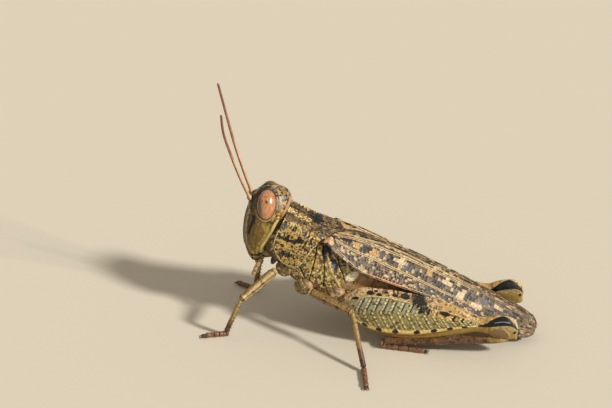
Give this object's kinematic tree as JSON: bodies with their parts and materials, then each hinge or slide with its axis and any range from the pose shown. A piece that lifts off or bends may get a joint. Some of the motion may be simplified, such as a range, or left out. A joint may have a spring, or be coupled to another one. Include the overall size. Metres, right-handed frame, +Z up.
{
  "type": "grasshopper",
  "caption": "Life-size still short-horned grasshopper crouching with folded hind legs: tall head with big oval eyes, saddle pronotum, roofed wing cases and club-shaped hind thighs.",
  "frame": {"origin": "on the floor under the middle of the bounding box (the box's bottom centre)", "axes": "+X runs from head to tail along the floor, +Y to the animal's right side, +Z up from the floor"},
  "size_m": [0.0347, 0.0258, 0.0265],
  "materials": {
    "face": "smooth hard shell, half gloss, olive brown",
    "eye": "smooth and shiny, copper brown",
    "plate": "finely granulated shell, low gloss, speckled olive brown",
    "belly": "ringed shell, low gloss, yellow brown",
    "wing": "leathery wing with raised veins, dark spots on tan",
    "leg": "smooth shell with fine hairs, tan",
    "femur": "smooth shell with a herringbone relief, grey olive",
    "foot": "smooth shell, reddish brown"
  },
  "bodies": {
    "root": {"abdomen_front": "belly", "abdomen_middle": "belly", "abdomen_rear": "belly", "antenna_left": "leg", "antenna_right": "leg", "eye_left": "eye", "eye_right": "eye", "fore_coxa_left": "leg", "fore_coxa_right": "leg", "fore_femur_left": "leg", "fore_femur_right": "leg", "fore_tarsus_left": "foot", "fore_tarsus_right": "foot", "fore_tibia_left": "leg", "fore_tibia_right": "leg", "head": "face", "hind_coxa_left": "leg", "hind_coxa_right": "leg", "hind_femur_left": "femur", "hind_femur_right": "femur", "hind_tarsus_left": "foot", "hind_tarsus_right": "foot", "hind_tibia_left": "leg", "hind_tibia_right": "leg", "labial_palp_left": "belly", "labial_palp_right": "belly", "labrum": "face", "mandible_left": "face", "mandible_right": "face", "maxillary_palp_left": "belly", "maxillary_palp_right": "belly", "mid_coxa_left": "leg", "mid_coxa_right": "leg", "mid_femur_left": "leg", "mid_femur_right": "leg", "mid_tarsus_left": "foot", "mid_tarsus_right": "foot", "mid_tibia_left": "leg", "mid_tibia_right": "leg", "ovipositor_lower": "belly", "ovipositor_upper": "belly", "pronotum": "plate", "prothorax": "belly", "tegmen_left": "wing", "tegmen_right": "wing", "thorax": "plate"}
  },
  "joints": []
}
